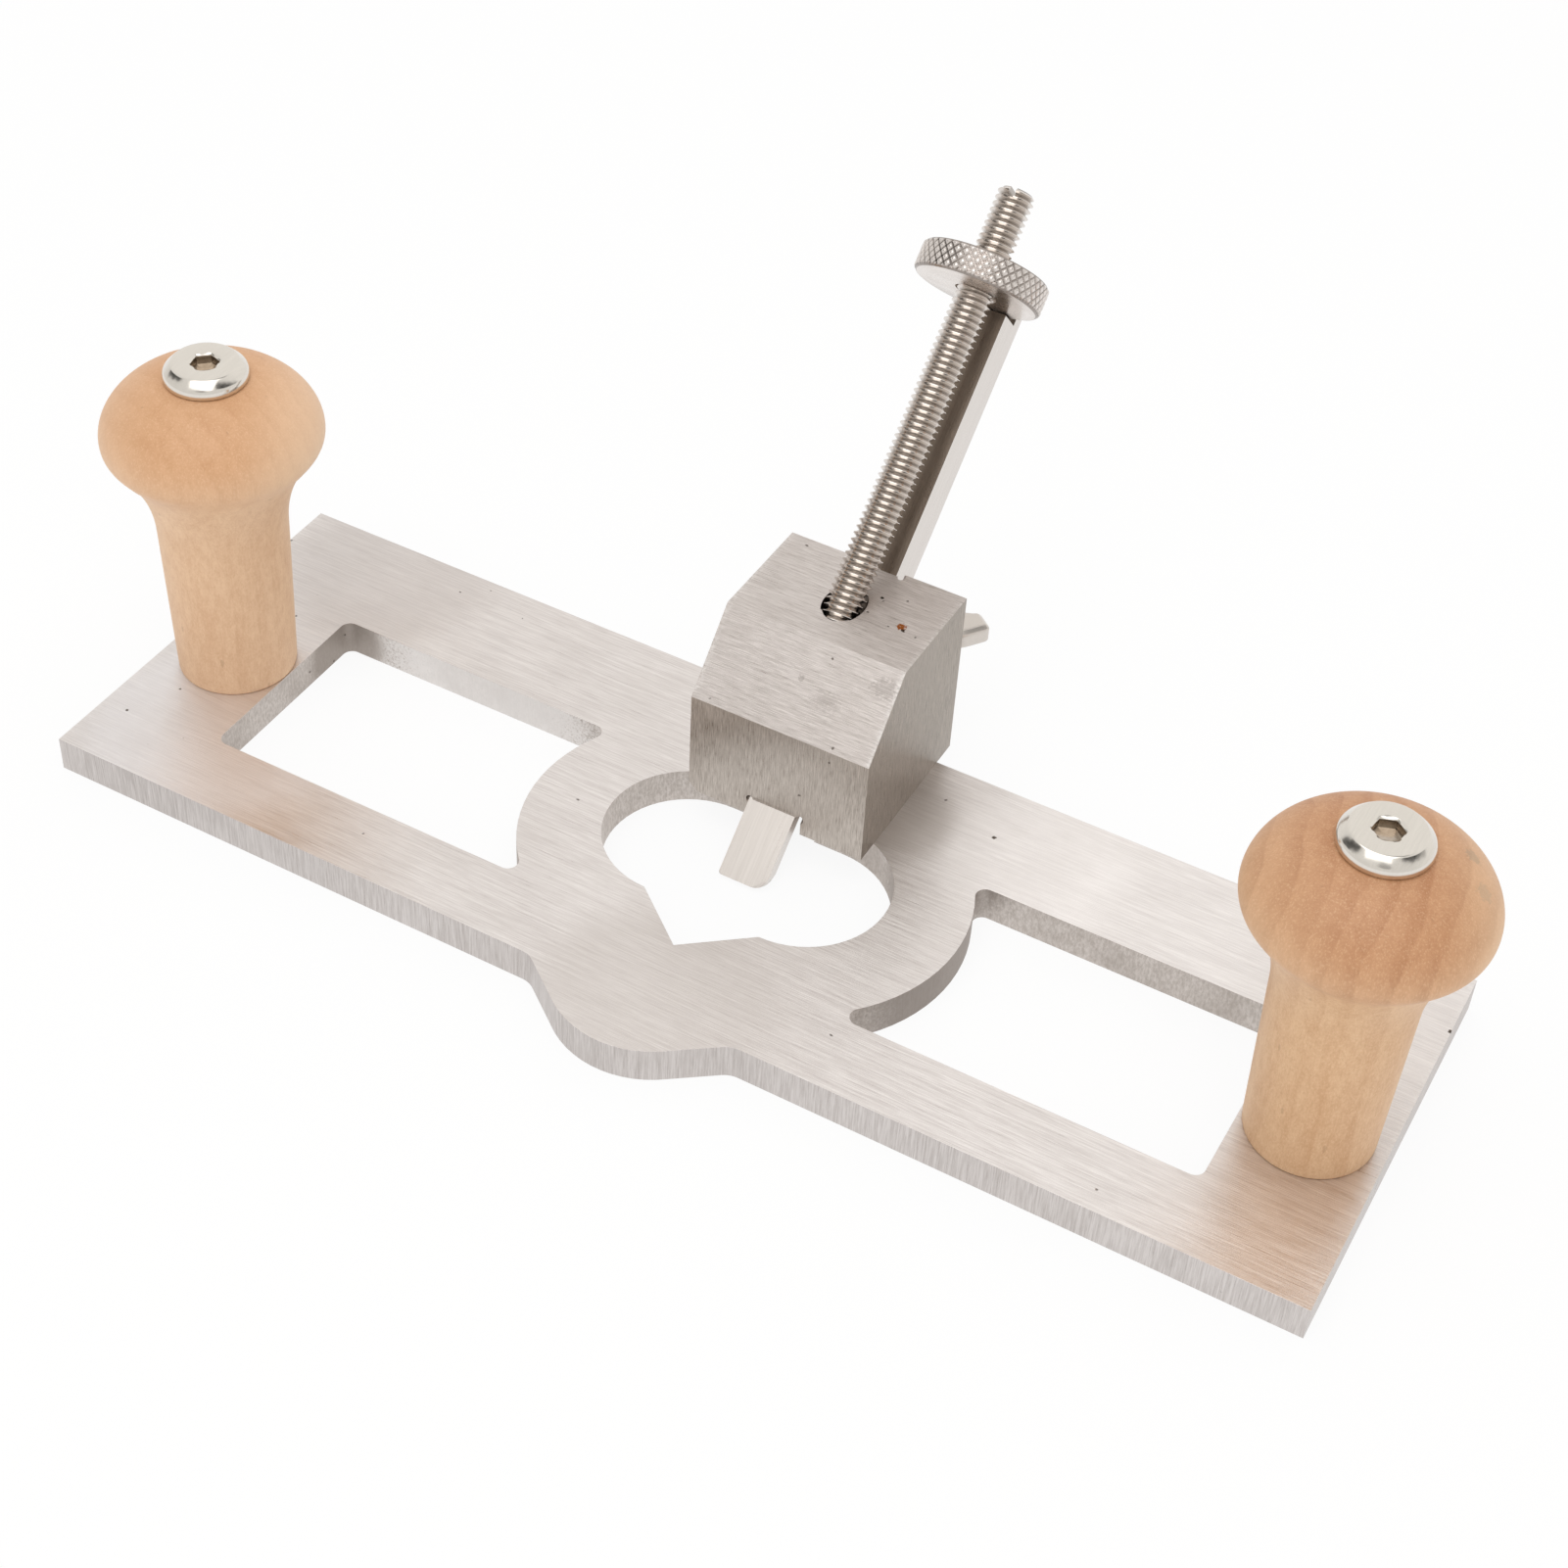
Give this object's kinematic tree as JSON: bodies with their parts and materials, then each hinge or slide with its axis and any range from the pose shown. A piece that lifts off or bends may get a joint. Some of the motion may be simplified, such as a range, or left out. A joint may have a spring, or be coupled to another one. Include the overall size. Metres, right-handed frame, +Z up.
{
  "type": "hand router plane",
  "caption": "Hand router plane with a flat steel sole, a slanted square cutter in a steel block, a knurled depth wheel on a threaded rod, a wing screw and mushroom wooden knobs.",
  "frame": {"origin": "on the sole, under the middle of the blade block", "axes": "+X along the plate to the right knob, +Y from the nose to the rear edge, +Z up from the sole"},
  "size_m": [0.2896, 0.163, 0.111],
  "materials": {
    "plate_steel": "fine grain brushed along the length",
    "block_steel": "brushed",
    "screw_steel": "plain",
    "rod_steel": "bright rolled thread",
    "wheel_steel": "diamond knurled rim",
    "cutter_steel": "ground",
    "wing_steel": "polished",
    "knob_wood": "clear satin lacquer",
    "bolt_nickel": "mirror nickel plate"
  },
  "bodies": {
    "plane": {"base_plate": "plate_steel", "blade_block": "block_steel", "block_screw_front_left": "screw_steel", "block_screw_front_right": "screw_steel", "block_screw_rear_left": "screw_steel", "block_screw_rear_right": "screw_steel", "adjuster_rod": "rod_steel", "left_knob": "knob_wood", "right_knob": "knob_wood", "left_knob_bolt": "bolt_nickel", "right_knob_bolt": "bolt_nickel"},
    "cutter": {"cutter_blade": "cutter_steel"},
    "wheel": {"adjuster_wheel": "wheel_steel"},
    "wing": {"wing_screw": "wing_steel"}
  },
  "joints": [
    {"name": "cutter_slide", "type": "slide", "parent": "plane", "child": "cutter", "axis": [0, 0.7349, 0.6782], "range_m": [-0.056, 0.0155]},
    {"name": "wheel_turn", "type": "hinge", "parent": "cutter", "child": "wheel", "pos_m": [0, 0.05735, 0.09589], "axis": [0, 0.7349, 0.6782], "range_deg": [-14290, 3960]},
    {"name": "wing_screw_turn", "type": "hinge", "parent": "plane", "child": "wing", "pos_m": [0, 0.023, 0.026], "axis": [0, 1, 0], "range_deg": [0, 450]}
  ],
  "couplings": [
    {"joint": "wheel_turn", "follows": "cutter_slide", "rad_per_m": 4453}
  ]
}
